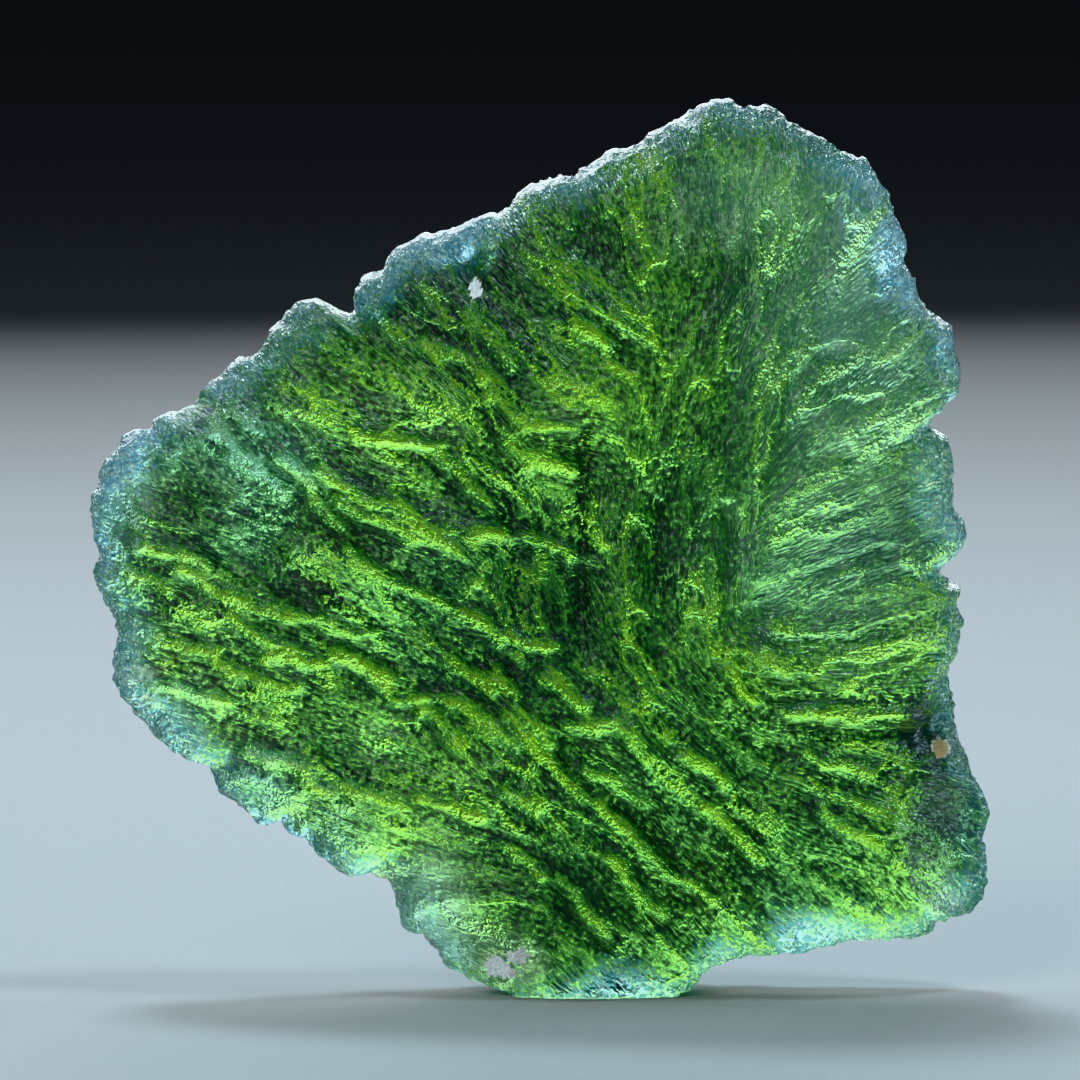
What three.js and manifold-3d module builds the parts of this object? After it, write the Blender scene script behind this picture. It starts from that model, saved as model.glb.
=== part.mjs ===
// A moldavite: one plate of green natural glass, standing on a small flat spot.
// Its front looks along -Y. Both faces are etched into ridges that follow the flow lines in the glass,
// and the rim is a blunt edge with chips, notches and a small cavity.
import * as THREE from "three";
import { mergeVertices } from "three/addons/utils/BufferGeometryUtils.js";
import Module from "manifold-3d";

// Driving dimensions, in millimetres
const heart = { x: 1.7, z: 17.5 };
const frontSwell = 1.9;
const backSwell = 1.7;
const swellTaper = 2.2;
const rimBluntness = 22;
const thinnestHalf = 0.35;
const rimWander = 0.45;
const ridgeWidth = 0.5;
const ridgeRise = 0.5;
const furrowWidth = 0.55;
const furrowDepth = 0.6;
const flowGrain = { width: 1.5, reach: 2.4, rise: 0.42, strides: 4 };
const backGrainShare = 1.3;
const broadLumps = { width: 6.5, rise: 0.5 };
const shoulderSkin = 0.9;
const notchReach = 0.3;
const rimSmoothing = 3.2;
const footCut = { x: 14, y: 16, z: 4 };

// The net that covers each face has this many rings, drawn closer together near the rim
const ringCount = 23;
const ringCrowding = 1.25;

// The rim seen from the front, clockwise from the left tip, as [x, z]
const rimOutline = [
  [-19.0, 20.0], [-18.9, 21.1], [-18.7, 22.2], [-18.1, 23.0], [-17.5, 23.7], [-16.7, 24.2], [-15.9, 24.6],
  [-14.6, 25.1], [-14.3, 25.7], [-13.4, 26.4], [-12.9, 26.9], [-12.1, 27.2], [-11.6, 27.9], [-10.8, 28.8],
  [-10.5, 29.2], [-9.5, 29.5], [-8.9, 29.2], [-8.2, 29.0], [-7.7, 29.2], [-7.7, 30.1], [-7.2, 30.6],
  [-6.6, 30.8], [-6.3, 31.5], [-5.5, 32.1], [-4.7, 32.4], [-3.4, 32.7], [-2.7, 33.1], [-1.6, 33.3],
  [-1.1, 33.9], [-0.4, 34.3], [0.7, 34.8], [1.6, 34.9], [2.4, 35.4], [3.5, 36.0], [4.5, 36.3],
  [5.1, 36.8], [6.2, 37.4], [7.1, 37.8], [7.8, 38.0], [8.8, 37.8], [9.5, 37.9], [10.4, 37.3],
  [11.6, 36.7], [12.8, 36.0], [14.3, 35.1], [14.6, 34.4], [14.9, 33.4], [15.4, 32.4], [15.5, 31.2],
  [15.9, 30.4], [16.0, 29.7], [16.6, 29.0], [17.4, 28.4], [17.6, 27.5], [17.8, 26.7], [17.7, 25.7],
  [17.0, 25.0], [16.6, 24.6], [16.5, 24.0], [17.1, 23.7], [17.5, 22.9], [17.5, 21.7], [17.6, 20.6],
  [18.1, 19.8], [17.9, 19.0], [17.2, 18.4], [17.1, 18.0], [17.4, 17.5], [17.9, 17.1], [17.7, 16.6],
  [17.9, 15.6], [17.6, 14.5], [17.2, 13.7], [17.5, 12.5], [17.7, 11.1], [18.1, 10.1], [18.5, 8.9],
  [19.0, 7.9], [18.9, 6.6], [18.9, 5.3], [18.9, 4.3], [18.5, 3.7], [17.8, 3.4], [17.0, 3.2],
  [16.6, 2.7], [15.2, 2.4], [13.5, 2.4], [11.8, 2.0], [9.8, 1.8], [8.1, 1.5], [6.9, 1.0],
  [6.3, 0.2], [5.2, -0.4], [1.8, -0.5], [-0.6, -0.4], [-1.6, 0.2], [-2.6, 0.6], [-3.3, 0.9],
  [-4.0, 1.3], [-4.3, 2.0], [-4.8, 2.5], [-5.5, 2.7], [-5.9, 3.4], [-6.0, 4.2], [-6.4, 4.9],
  [-7.2, 5.3], [-7.9, 5.1], [-8.7, 5.3], [-9.3, 5.8], [-9.7, 6.5], [-10.4, 6.8], [-11.2, 7.5],
  [-11.9, 7.3], [-12.4, 7.7], [-13.0, 8.2], [-13.6, 8.7], [-13.8, 9.5], [-14.3, 9.8], [-14.9, 9.9],
  [-15.6, 10.4], [-16.3, 11.0], [-16.8, 11.7], [-17.3, 12.2], [-17.8, 12.7], [-18.1, 13.3], [-18.1, 14.3],
  [-17.9, 15.1], [-18.2, 16.3], [-18.7, 17.3], [-18.9, 17.8], [-18.7, 18.7],
];

// Half the thickness of the blunt rim near some places, as [x, z, half thickness]
const rimHalves = [
  [-18.9, 20.0, 1.5], [-10.0, 29.0, 2.0], [0.0, 34.5, 2.1], [8.0, 38.0, 1.7], [15.5, 32.0, 1.7],
  [17.5, 21.0, 2.1], [18.5, 7.0, 2.5], [8.0, 1.5, 3.0], [2.5, 0.0, 3.4], [-3.0, 1.0, 2.8],
  [-7.0, 5.2, 1.9], [-11.0, 7.5, 1.8], [-17.5, 13.0, 1.7],
];

// Directions of the flow lines on the front, as [x, z, degrees up from +X]
const flowLines = [
  [-12.8, 23.5, -33], [-9.0, 22.0, -43], [-13.7, 17.7, -27], [-15.4, 15.3, -22], [-12.0, 13.4, -22],
  [-6.0, 20.7, -29], [-6.2, 24.1, -22], [-3.9, 27.5, -45], [-1.2, 25.2, -45], [0.4, 24.3, -8],
  [2.4, 28.4, -40], [5.1, 33.1, -80], [-1.3, 19.0, -88], [1.7, 20.2, -85], [5.1, 19.8, 90],
  [1.3, 16.8, -75], [8.6, 27.9, 75], [6.8, 25.4, 80], [13.3, 27.5, 38], [14.6, 23.7, 30],
  [13.3, 19.0, 22], [14.6, 16.0, 12], [13.3, 12.1, -6], [13.7, 7.0, -28], [13.3, 4.0, -48],
  [6.8, 6.1, -42], [3.4, 4.0, -57], [4.3, 10.4, -50], [0.4, 9.1, -49], [-3.9, 14.7, -35],
  [-6.0, 8.7, -22], [-2.6, 5.7, -10],
];

// Main ridges of the front, as [x, z, x, z] from end to end
const mainRidges = [
  [-10.9, 23.2, -8.3, 20.2], [-9.4, 22.4, -6.0, 20.9], [-6.0, 20.9, -3.2, 19.2], [-8.3, 21.2, -3.9, 19.5],
  [-4.9, 28.2, -2.7, 26.6], [-3.0, 29.1, -1.2, 27.3], [-2.1, 25.7, -0.6, 24.5], [-0.6, 24.5, 1.5, 24.5],
  [-1.5, 24.0, -0.4, 23.0], [-0.4, 23.2, 1.5, 22.7], [-7.6, 24.4, -4.3, 23.7], [1.5, 28.9, 3.1, 27.9],
  [-4.3, 23.3, -2.1, 21.3], [-2.7, 20.2, 0.2, 19.4], [0.2, 19.4, 1.9, 18.9], [-6.0, 17.9, -4.1, 16.7],
  [-4.1, 16.7, -2.1, 15.8], [-1.7, 15.4, 0.7, 15.0], [-7.9, 19.2, -5.9, 17.7], [-17.1, 19.2, -14.2, 18.4],
  [-15.4, 18.1, -12.8, 17.0], [-12.8, 17.0, -10.3, 16.5], [-17.9, 18.0, -15.8, 17.2], [-10.7, 16.8, -7.8, 15.5],
  [-17.1, 15.8, -13.8, 14.5], [-12.9, 16.0, -10.7, 14.7], [-9.0, 14.9, -6.3, 13.8], [-8.1, 14.6, -6.0, 13.0],
  [-6.0, 13.0, -3.1, 12.4], [-11.8, 14.7, -9.3, 14.4], [-13.6, 14.0, -10.3, 13.2], [-16.3, 13.3, -13.2, 12.4],
  [-3.9, 14.6, -2.1, 13.1], [-2.1, 13.9, -1.2, 13.1], [0.3, 14.1, 2.1, 12.7], [-3.3, 12.4, -1.3, 10.7],
  [-1.5, 11.9, 0.4, 10.2], [0.4, 10.2, 1.8, 8.7], [-1.2, 12.5, 0.3, 10.9], [-4.9, 12.2, -3.3, 10.7],
  [0.9, 11.9, 3.4, 11.7], [3.4, 11.7, 4.7, 10.6], [2.1, 10.0, 4.5, 8.5], [-7.9, 9.2, -5.5, 8.2],
  [-4.8, 8.7, -2.6, 8.0], [-1.5, 9.1, -0.1, 8.1], [10.3, 12.6, 15.6, 12.0], [8.1, 13.9, 9.1, 12.9],
  [9.3, 15.0, 10.7, 14.2], [6.4, 10.6, 7.6, 9.5], [11.5, 10.6, 13.8, 9.7], [2.6, 8.3, 4.7, 6.3],
  [4.7, 6.1, 7.1, 4.6], [0.9, 5.3, 3.0, 2.9], [6.8, 8.3, 9.4, 6.1], [12.0, 8.3, 14.6, 6.5],
  [3.0, 6.1, 5.4, 3.6], [-1.7, 6.5, 0.2, 5.3], [-13.9, 24.1, -11.8, 22.6], [-13.1, 23.0, -10.7, 21.7],
  [-12.4, 10.6, -9.0, 8.9],
];

// Deep furrows of the front, as [x, z, x, z] from end to end
const furrows = [
  [-1.4, 21.8, -1.0, 16.2], [2.0, 24.4, 1.7, 16.2], [5.2, 21.0, 5.1, 17.7], [6.8, 21.1, 6.8, 19.8],
  [8.0, 21.1, 7.9, 18.2], [-12.6, 21.0, -10.0, 20.2], [-10.4, 18.0, -8.6, 17.0],
];

// Chips that leave a slanted plane along the rim: a point on the inner border, the way out from it,
// the height of the surface there over the middle plane, its fall per millimetre, and how it cups
const rimChips = [
  { x: 10.7, z: 36.4, outward: 71, height: 2.0, fall: 0.9, cup: 40 },
  { x: -2.8, z: 3.1, outward: -128, height: 2.3, fall: 0.75, cup: 12 },
  { x: -16.3, z: 22.0, outward: 172, height: 2.0, fall: 0.6, cup: 14 },
  { x: 16.1, z: 6.3, outward: -4, height: 2.5, fall: 1.1, cup: 14 },
];

// Lumps (rise over 0) and pits (under 0) of the front: place, radii and rise
const frontDents = [
  { x: -3.1, z: 31.7, alongX: 0.9, alongZ: 1.0, rise: -1.1 },
  { x: 17.0, z: 11.5, alongX: 1.1, alongZ: 1.9, rise: -1.5 },
  { x: -7.0, z: 29.7, alongX: 0.9, alongZ: 1.2, rise: 0.5 },
  { x: -12.4, z: 18.8, alongX: 2.4, alongZ: 1.6, rise: -0.5 },
  { x: -15.3, z: 21.6, alongX: 1.9, alongZ: 1.5, rise: -0.4 },
  { x: 12.5, z: 30.5, alongX: 4.0, alongZ: 4.5, rise: -0.5 },
];

// Lumps and pits of the back
const backDents = [
  { x: -5.0, z: 24.0, alongX: 4.5, alongZ: 3.0, rise: -0.8 },
  { x: 9.0, z: 15.0, alongX: 3.5, alongZ: 5.0, rise: -0.7 },
  { x: 2.0, z: 30.0, alongX: 3.0, alongZ: 2.5, rise: 0.5 },
  { x: -8.0, z: 12.5, alongX: 3.0, alongZ: 2.2, rise: 0.5 },
  { x: 12.0, z: 26.5, alongX: 1.6, alongZ: 1.3, rise: -0.7 },
  { x: 1.0, z: 8.5, alongX: 1.5, alongZ: 1.1, rise: -0.6 },
];

// A number from 0 to 1 that is always the same at one lattice point
function latticeValue(column, row, seed) {
  const mixed = Math.sin(column * 127.1 + row * 311.7 + seed * 74.7) * 43758.5453;
  return mixed - Math.floor(mixed);
}

// Smooth noise from -1 to 1, made of lattice values blended across each square
function smoothNoise(x, z, seed) {
  const column = Math.floor(x);
  const row = Math.floor(z);
  const ease = (part) => part * part * (3 - 2 * part);
  const across = ease(x - column);
  const up = ease(z - row);
  const blendRow = (line) => THREE.MathUtils.lerp(
    latticeValue(column, line, seed), latticeValue(column + 1, line, seed), across);
  return 2 * THREE.MathUtils.lerp(blendRow(row), blendRow(row + 1), up) - 1;
}

// The direction of the flow lines at a place, from the nearest of those given
function flowDirection(x, z) {
  let cosine = 0;
  let sine = 0;
  for (const [lineX, lineZ, degrees] of flowLines) {
    const weight = 1 / ((x - lineX) ** 2 + (z - lineZ) ** 2 + 1) ** 1.5;
    const doubled = 2 * THREE.MathUtils.degToRad(degrees);
    cosine += weight * Math.cos(doubled);
    sine += weight * Math.sin(doubled);
  }
  return 0.5 * Math.atan2(sine, cosine);
}

// Half the stone's thickness at a place, before its swell, blended from the nearest of those given
function rimHalf(x, z) {
  let total = 0;
  let sum = 0;
  for (const [rimX, rimZ, half] of rimHalves) {
    const weight = 1 / ((x - rimX) ** 2 + (z - rimZ) ** 2 + 0.5) ** 1.5;
    total += weight;
    sum += weight * half;
  }
  return sum / total;
}

// Noise drawn out along the flow lines: its mean along the line through the place
function flowNoise(x, z, seed) {
  const stride = flowGrain.reach / flowGrain.strides;
  let sum = smoothNoise(x / flowGrain.width, z / flowGrain.width, seed);
  for (const sense of [-1, 1]) {
    let walkX = x;
    let walkZ = z;
    for (let step = 0; step < flowGrain.strides; step++) {
      const direction = flowDirection(walkX, walkZ);
      walkX += sense * stride * Math.cos(direction);
      walkZ += sense * stride * Math.sin(direction);
      sum += smoothNoise(walkX / flowGrain.width, walkZ / flowGrain.width, seed);
    }
  }
  return sum / Math.sqrt(2 * flowGrain.strides + 1);
}

// A long swell from one point to another: highest along its middle, falling off on both sides and ends
function swell(x, z, [startX, startZ, endX, endZ], width) {
  const lengthX = endX - startX;
  const lengthZ = endZ - startZ;
  const along = ((x - startX) * lengthX + (z - startZ) * lengthZ) / (lengthX ** 2 + lengthZ ** 2);
  const nearest = THREE.MathUtils.clamp(along, 0, 1);
  const away = Math.hypot(x - startX - nearest * lengthX, z - startZ - nearest * lengthZ);
  return Math.exp(-((away / width) ** 2));
}

// A round or oval lump or pit with a smooth border
function dent(x, z, { x: middleX, z: middleZ, alongX, alongZ, rise }) {
  const reach = ((x - middleX) / alongX) ** 2 + ((z - middleZ) / alongZ) ** 2;
  return reach < 1 ? rise * (1 - reach) ** 2 : 0;
}

// The height that a chip along the rim leaves: a plane falling outward, cupped along the rim
function chipHeight(x, z, { x: borderX, z: borderZ, outward, height, fall, cup }) {
  const direction = THREE.MathUtils.degToRad(outward);
  const out = (x - borderX) * Math.cos(direction) + (z - borderZ) * Math.sin(direction);
  const side = (z - borderZ) * Math.cos(direction) - (x - borderX) * Math.sin(direction);
  return height - fall * out + side ** 2 / cup;
}

// Relief of the front over its smooth form
function frontRelief(x, z) {
  let relief = broadLumps.rise * smoothNoise(x / broadLumps.width, z / broadLumps.width, 3);
  relief += flowGrain.rise * flowNoise(x, z, 5);
  let ridge = 0;
  for (const line of mainRidges) {
    ridge = Math.max(ridge, swell(x, z, line, ridgeWidth));
  }
  let furrow = 0;
  for (const line of furrows) {
    furrow = Math.max(furrow, swell(x, z, line, furrowWidth));
  }
  relief += ridgeRise * ridge - furrowDepth * furrow;
  for (const spot of frontDents) {
    relief += dent(x, z, spot);
  }
  return relief;
}

// Relief of the back: the same kind of flow ridges, from other noise, and its own lumps and pits
function backRelief(x, z) {
  let relief = broadLumps.rise * smoothNoise(x / broadLumps.width, z / broadLumps.width, 11);
  relief += backGrainShare * flowGrain.rise * flowNoise(x, z, 17);
  for (const spot of backDents) {
    relief += dent(x, z, spot);
  }
  return relief;
}

// The rim's outline as one closed curve, with its points set at even spacing
const rimCurve = new THREE.CatmullRomCurve3(
  rimOutline.map(([x, z]) => new THREE.Vector3(x, 0, z)), true, "centripetal");
rimCurve.arcLengthDivisions = 2000;

// The same outline without its notches: each point is the mean of the rim on both sides of it
function smoothRimPoint(share) {
  const strides = 5;
  const stride = rimSmoothing / rimCurve.getLength() / strides;
  const sum = new THREE.Vector3();
  for (let step = -strides; step <= strides; step++) {
    sum.add(rimCurve.getPointAt(THREE.MathUtils.euclideanModulo(share + step * stride, 1)));
  }
  return sum.divideScalar(2 * strides + 1);
}

// One point of a face: a place on a square net, ring by ring from the stone's heart to its rim.
// The rim's notches fade out towards the heart, over the outer share notchReach of the way.
// Height over the middle plane = half thickness * sqrt(1 - r^bluntness) + swell * (1 - r^taper) + relief
function netPoint(column, row, side) {
  const ring = Math.max(Math.abs(column), Math.abs(row));
  const outness = 1 - (1 - ring / ringCount) ** ringCrowding;
  let turn = 0;
  if (ring > 0) {
    if (column === ring && row < ring) turn = row / ring / 8;
    else if (row === ring) turn = (2 * ring - column) / ring / 8;
    else if (column === -ring) turn = (4 * ring - row) / ring / 8;
    else turn = (6 * ring + column) / ring / 8;
  }
  const share = THREE.MathUtils.euclideanModulo(0.5 - turn, 1);
  const notchShare = THREE.MathUtils.smoothstep(outness, 1 - notchReach, 1);
  const rimPoint = smoothRimPoint(share).lerp(rimCurve.getPointAt(share), notchShare);
  const x = heart.x + outness * (rimPoint.x - heart.x);
  const z = heart.z + outness * (rimPoint.z - heart.z);
  const inset = (1 - outness) * Math.hypot(rimPoint.x - heart.x, rimPoint.z - heart.z);
  const blunt = rimHalf(x, z) * Math.sqrt(Math.max(0, 1 - outness ** rimBluntness));
  const reliefShare = THREE.MathUtils.smoothstep(inset, 0, 2 * shoulderSkin);
  const wander = rimWander * outness ** 2
    * (Math.sin(4 * Math.PI * turn + 1) + 0.6 * Math.sin(10 * Math.PI * turn));
  const bulge = side < 0 ? frontSwell : backSwell;
  const relief = side < 0 ? frontRelief(x, z) : backRelief(x, z);
  let height = blunt + bulge * (1 - outness ** swellTaper) + reliefShare * relief;
  if (side < 0) {
    for (const chip of rimChips) {
      height = Math.min(height, chipHeight(x, z, chip));
    }
  }
  height = Math.max(height, Math.min(thinnestHalf, inset));
  return new THREE.Vector3(x, wander + side * height, z);
}

// Both faces as nets of triangles that share the rim
function stoneGeometry() {
  const positions = [];
  const addTriangle = (corners, side) => {
    const ordered = side < 0 ? corners : [corners[0], corners[2], corners[1]];
    for (const corner of ordered) {
      positions.push(corner.x, corner.y, corner.z);
    }
  };
  for (const side of [-1, 1]) {
    const net = [];
    for (let column = -ringCount; column <= ringCount; column++) {
      net.push([]);
      for (let row = -ringCount; row <= ringCount; row++) {
        net.at(-1).push(netPoint(column, row, side));
      }
    }
    for (let i = 0; i < 2 * ringCount; i++) {
      for (let j = 0; j < 2 * ringCount; j++) {
        const [a, b, c, d] = [net[i][j], net[i + 1][j], net[i + 1][j + 1], net[i][j + 1]];
        const slantsUp = (i < ringCount) === (j < ringCount);
        const halves = slantsUp ? [[a, b, c], [a, c, d]] : [[a, b, d], [b, c, d]];
        for (const half of halves) {
          addTriangle(half, side);
        }
      }
    }
  }
  const geometry = new THREE.BufferGeometry();
  geometry.setAttribute("position", new THREE.Float32BufferAttribute(positions, 3));
  return mergeVertices(geometry, 1e-3);
}

const wasm = await Module();
wasm.setup();

// A closed geometry as a solid that can be cut
function solidFrom(geometry) {
  geometry.deleteAttribute("normal");
  geometry.deleteAttribute("uv");
  const merged = mergeVertices(geometry, 1e-3);
  return new wasm.Manifold(new wasm.Mesh({
    numProp: 3,
    vertProperties: merged.attributes.position.array,
    triVerts: new Uint32Array(merged.index.array),
  }));
}

// The stone with its foot ground flat at z = 0
function standingStone() {
  const below = new THREE.BoxGeometry(footCut.x, footCut.y, footCut.z);
  below.translate(heart.x, 0, -footCut.z / 2);
  const cut = solidFrom(stoneGeometry()).subtract(solidFrom(below)).getMesh();
  const geometry = new THREE.BufferGeometry();
  geometry.setAttribute("position", new THREE.BufferAttribute(cut.vertProperties, 3));
  geometry.setIndex(new THREE.BufferAttribute(cut.triVerts, 1));
  geometry.computeBoundingBox();
  const middle = geometry.boundingBox.getCenter(new THREE.Vector3());
  geometry.translate(-middle.x, -middle.y, -geometry.boundingBox.min.z);
  geometry.computeVertexNormals();
  return geometry;
}

const greenGlass = new THREE.MeshStandardMaterial({ color: 0x3f8a2a, roughness: 0.28, metalness: 0 });

const stone = new THREE.Mesh(standingStone(), greenGlass);
stone.name = "moldavite";

const group = new THREE.Group();
group.add(stone);

export default group;
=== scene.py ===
# Moldavite: a plate of green natural glass that stands on a small flat spot of its rim.
import bpy
import math
import numpy as np
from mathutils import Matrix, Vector


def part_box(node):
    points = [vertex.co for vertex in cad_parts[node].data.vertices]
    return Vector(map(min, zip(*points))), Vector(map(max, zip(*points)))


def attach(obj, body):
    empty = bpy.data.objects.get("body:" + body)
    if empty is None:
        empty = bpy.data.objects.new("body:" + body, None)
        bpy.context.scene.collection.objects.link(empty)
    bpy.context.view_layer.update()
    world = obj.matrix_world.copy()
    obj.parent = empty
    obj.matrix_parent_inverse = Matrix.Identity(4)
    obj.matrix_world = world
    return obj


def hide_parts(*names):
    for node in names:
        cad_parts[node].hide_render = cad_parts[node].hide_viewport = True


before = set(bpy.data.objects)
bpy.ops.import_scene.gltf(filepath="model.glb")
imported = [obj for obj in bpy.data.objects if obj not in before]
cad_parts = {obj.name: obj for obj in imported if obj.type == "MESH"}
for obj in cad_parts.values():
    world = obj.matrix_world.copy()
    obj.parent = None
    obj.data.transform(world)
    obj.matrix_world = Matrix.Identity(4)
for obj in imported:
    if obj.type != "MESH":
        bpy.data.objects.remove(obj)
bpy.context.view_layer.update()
mm = 0.001  # the lists and dictionaries below hold millimetres unless they say otherwise

camera = {
    "aim": (0.0, 0.0, 19.4),     # the middle of the picture, on the stone's middle plane
    "elevation": 4.5,            # degrees down onto the floor
    "distance": 420.0,
    "pictureWidth": 46.15,       # what the picture spans at the stone
    "sensor": 36.0,
}


# Camera: on a circle of the given distance round the aim, looking at it from the front
def makeCamera():
    rise = math.radians(camera["elevation"])
    aim = Vector(camera["aim"]) * mm
    away = Vector((0, -math.cos(rise), math.sin(rise))) * camera["distance"] * mm
    data = bpy.data.cameras.new("camera")
    data.sensor_width = camera["sensor"]
    data.lens = camera["sensor"] * camera["distance"] / camera["pictureWidth"]
    data.clip_start = 0.01
    data.clip_end = 20
    lookout = bpy.data.objects.new("camera", data)
    lookout.location = aim + away
    lookout.rotation_euler = (-away).to_track_quat("-Z", "Y").to_euler()
    bpy.context.scene.collection.objects.link(lookout)
    bpy.context.scene.camera = lookout


print("camera")
makeCamera()

stone = {
    "heart": (1.7, 17.5),        # x and z of the middle that the rings of the net close on
    "rings": 110,
    "ringCrowding": 1.15,        # over 1 sets the rings closer towards the rim
    "notchReach": 0.3,           # outer share of the way out over which the rim's notches fade in
    "rimSmoothing": 3.2,         # half the stretch of rim that the smoothed rim is a mean of
    "rimBluntness": 16,          # powers of the face's profile, see facePoints
    "swellTaper": 2.2,
    "frontSwell": 1.9,
    "backSwell": 1.7,
    "thinnestHalf": 0.35,
    "rimWander": 0.45,           # how far the rim leaves the middle plane
    "rimSkin": 0.9,              # the relief fades out over twice this near the rim
    "outlineCrumbs": ((1.3, 0.11), (0.62, 0.10), (0.33, 0.08)),  # width and rise of the rim's crumbs
    "rimCrumbs": ((1.1, 0.18), (0.55, 0.18), (0.3, 0.15)),
    "crumbReach": 1.5,           # how far in from the rim the crumbs go
    "markBays": (0.36, 0.8),     # width of the bays in the border of the marks, and how far they stray
}

relief = {
    "broad": (6.5, 0.5),         # width and rise
    "flow": (1.7, 3.0, 0.17),    # width across, reach along the flow, rise
    "lines": (0.8, 1.5, 0.10),   # the same for the finer lines; the ropes run where they are 0
    "rope": (0.6, 0.13),         # half width in the lines' own value, rise
    "lean": 0.25,                # how far the fine ridges lean down over their lower side
    "backShare": 1.3,            # the back's flow against the front's
    "ridge": (0.30, 0.36),       # half width and rise
    "furrow": (0.28, 0.3),
    "sway": ((1.5, 0.30), (0.6, 0.13)),  # width and reach of the bends of ridges and furrows
    "ridgePull": (3.0, 0.8),     # how strongly a main ridge turns the streaks, and how far from it
}

# the rim seen from the front, clockwise from the left tip, as x and z
rimOutline = [
    (-19.0, 20.0), (-18.9, 21.1), (-18.7, 22.2), (-18.1, 23.0), (-17.5, 23.7), (-16.7, 24.2), (-15.9, 24.6),
    (-14.6, 25.1), (-14.3, 25.7), (-13.4, 26.4), (-12.9, 26.9), (-12.1, 27.2), (-11.6, 27.9), (-10.8, 28.8),
    (-10.5, 29.2), (-9.5, 29.5), (-8.9, 29.2), (-8.2, 29.0), (-7.7, 29.2), (-7.7, 30.1), (-7.2, 30.6),
    (-6.6, 30.8), (-6.3, 31.5), (-5.5, 32.1), (-4.7, 32.4), (-3.4, 32.7), (-2.7, 33.1), (-1.6, 33.3),
    (-1.1, 33.9), (-0.4, 34.3), (0.7, 34.8), (1.6, 34.9), (2.4, 35.4), (3.5, 36.0), (4.5, 36.3),
    (5.1, 36.8), (6.2, 37.4), (7.1, 37.8), (7.8, 38.0), (8.8, 37.8), (9.5, 37.9), (10.4, 37.3),
    (11.6, 36.7), (12.8, 36.0), (14.3, 35.1), (14.6, 34.4), (14.9, 33.4), (15.4, 32.4), (15.5, 31.2),
    (15.9, 30.4), (16.0, 29.7), (16.6, 29.0), (17.4, 28.4), (17.6, 27.5), (17.8, 26.7), (17.7, 25.7),
    (17.0, 25.0), (16.6, 24.6), (16.5, 24.0), (17.1, 23.7), (17.5, 22.9), (17.5, 21.7), (17.6, 20.6),
    (18.1, 19.8), (17.9, 19.0), (17.2, 18.4), (17.1, 18.0), (17.4, 17.5), (17.9, 17.1), (17.7, 16.6),
    (17.9, 15.6), (17.6, 14.5), (17.2, 13.7), (17.5, 12.5), (17.7, 11.1), (18.1, 10.1), (18.5, 8.9),
    (19.0, 7.9), (18.9, 6.6), (18.9, 5.3), (18.9, 4.3), (18.5, 3.7), (17.8, 3.4), (17.0, 3.2),
    (16.6, 2.7), (15.2, 2.4), (13.5, 2.4), (11.8, 2.0), (9.8, 1.8), (8.1, 1.5), (6.9, 1.0),
    (6.3, 0.2), (5.2, -0.4), (1.8, -0.5), (-0.6, -0.4), (-1.6, 0.2), (-2.6, 0.6), (-3.3, 0.9),
    (-4.0, 1.3), (-4.3, 2.0), (-4.8, 2.5), (-5.5, 2.7), (-5.9, 3.4), (-6.0, 4.2), (-6.4, 4.9),
    (-7.2, 5.3), (-7.9, 5.1), (-8.7, 5.3), (-9.3, 5.8), (-9.7, 6.5), (-10.4, 6.8), (-11.2, 7.5),
    (-11.9, 7.3), (-12.4, 7.7), (-13.0, 8.2), (-13.6, 8.7), (-13.8, 9.5), (-14.3, 9.8), (-14.9, 9.9),
    (-15.6, 10.4), (-16.3, 11.0), (-16.8, 11.7), (-17.3, 12.2), (-17.8, 12.7), (-18.1, 13.3), (-18.1, 14.3),
    (-17.9, 15.1), (-18.2, 16.3), (-18.7, 17.3), (-18.9, 17.8), (-18.7, 18.7),
]

# half the stone's thickness near some places, before its swell, as x, z and half thickness
rimHalves = [
    (-18.9, 20.0, 1.5), (-10.0, 29.0, 2.0), (0.0, 34.5, 2.1), (8.0, 38.0, 1.7), (15.5, 32.0, 1.7),
    (17.5, 21.0, 2.1), (18.5, 7.0, 2.5), (8.0, 1.5, 3.0), (2.5, 0.0, 3.4), (-3.0, 1.0, 2.8),
    (-7.0, 5.2, 1.9), (-11.0, 7.5, 1.8), (-17.5, 13.0, 1.7),
]

# directions of the flow lines on the front, as x, z and degrees up from +X
flowLines = [
    (-12.8, 23.5, -33), (-9.0, 22.0, -43), (-13.7, 17.7, -27), (-15.4, 15.3, -22), (-12.0, 13.4, -22),
    (-6.0, 20.7, -29), (-6.2, 24.1, -22), (-3.9, 27.5, -45), (-1.2, 25.2, -45), (0.4, 24.3, -8),
    (2.4, 28.4, -40), (5.1, 33.1, -80), (-1.3, 19.0, -88), (1.7, 20.2, -85), (5.1, 19.8, 90),
    (1.3, 16.8, -75), (8.6, 27.9, 75), (6.8, 25.4, 80), (13.3, 27.5, 38), (14.6, 23.7, 30),
    (13.3, 19.0, 22), (14.6, 16.0, 12), (13.3, 12.1, -6), (13.7, 7.0, -28), (13.3, 4.0, -48),
    (6.8, 6.1, -42), (3.4, 4.0, -57), (4.3, 10.4, -50), (0.4, 9.1, -49), (-3.9, 14.7, -35),
    (-6.0, 8.7, -22), (-2.6, 5.7, -10),
]

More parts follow.
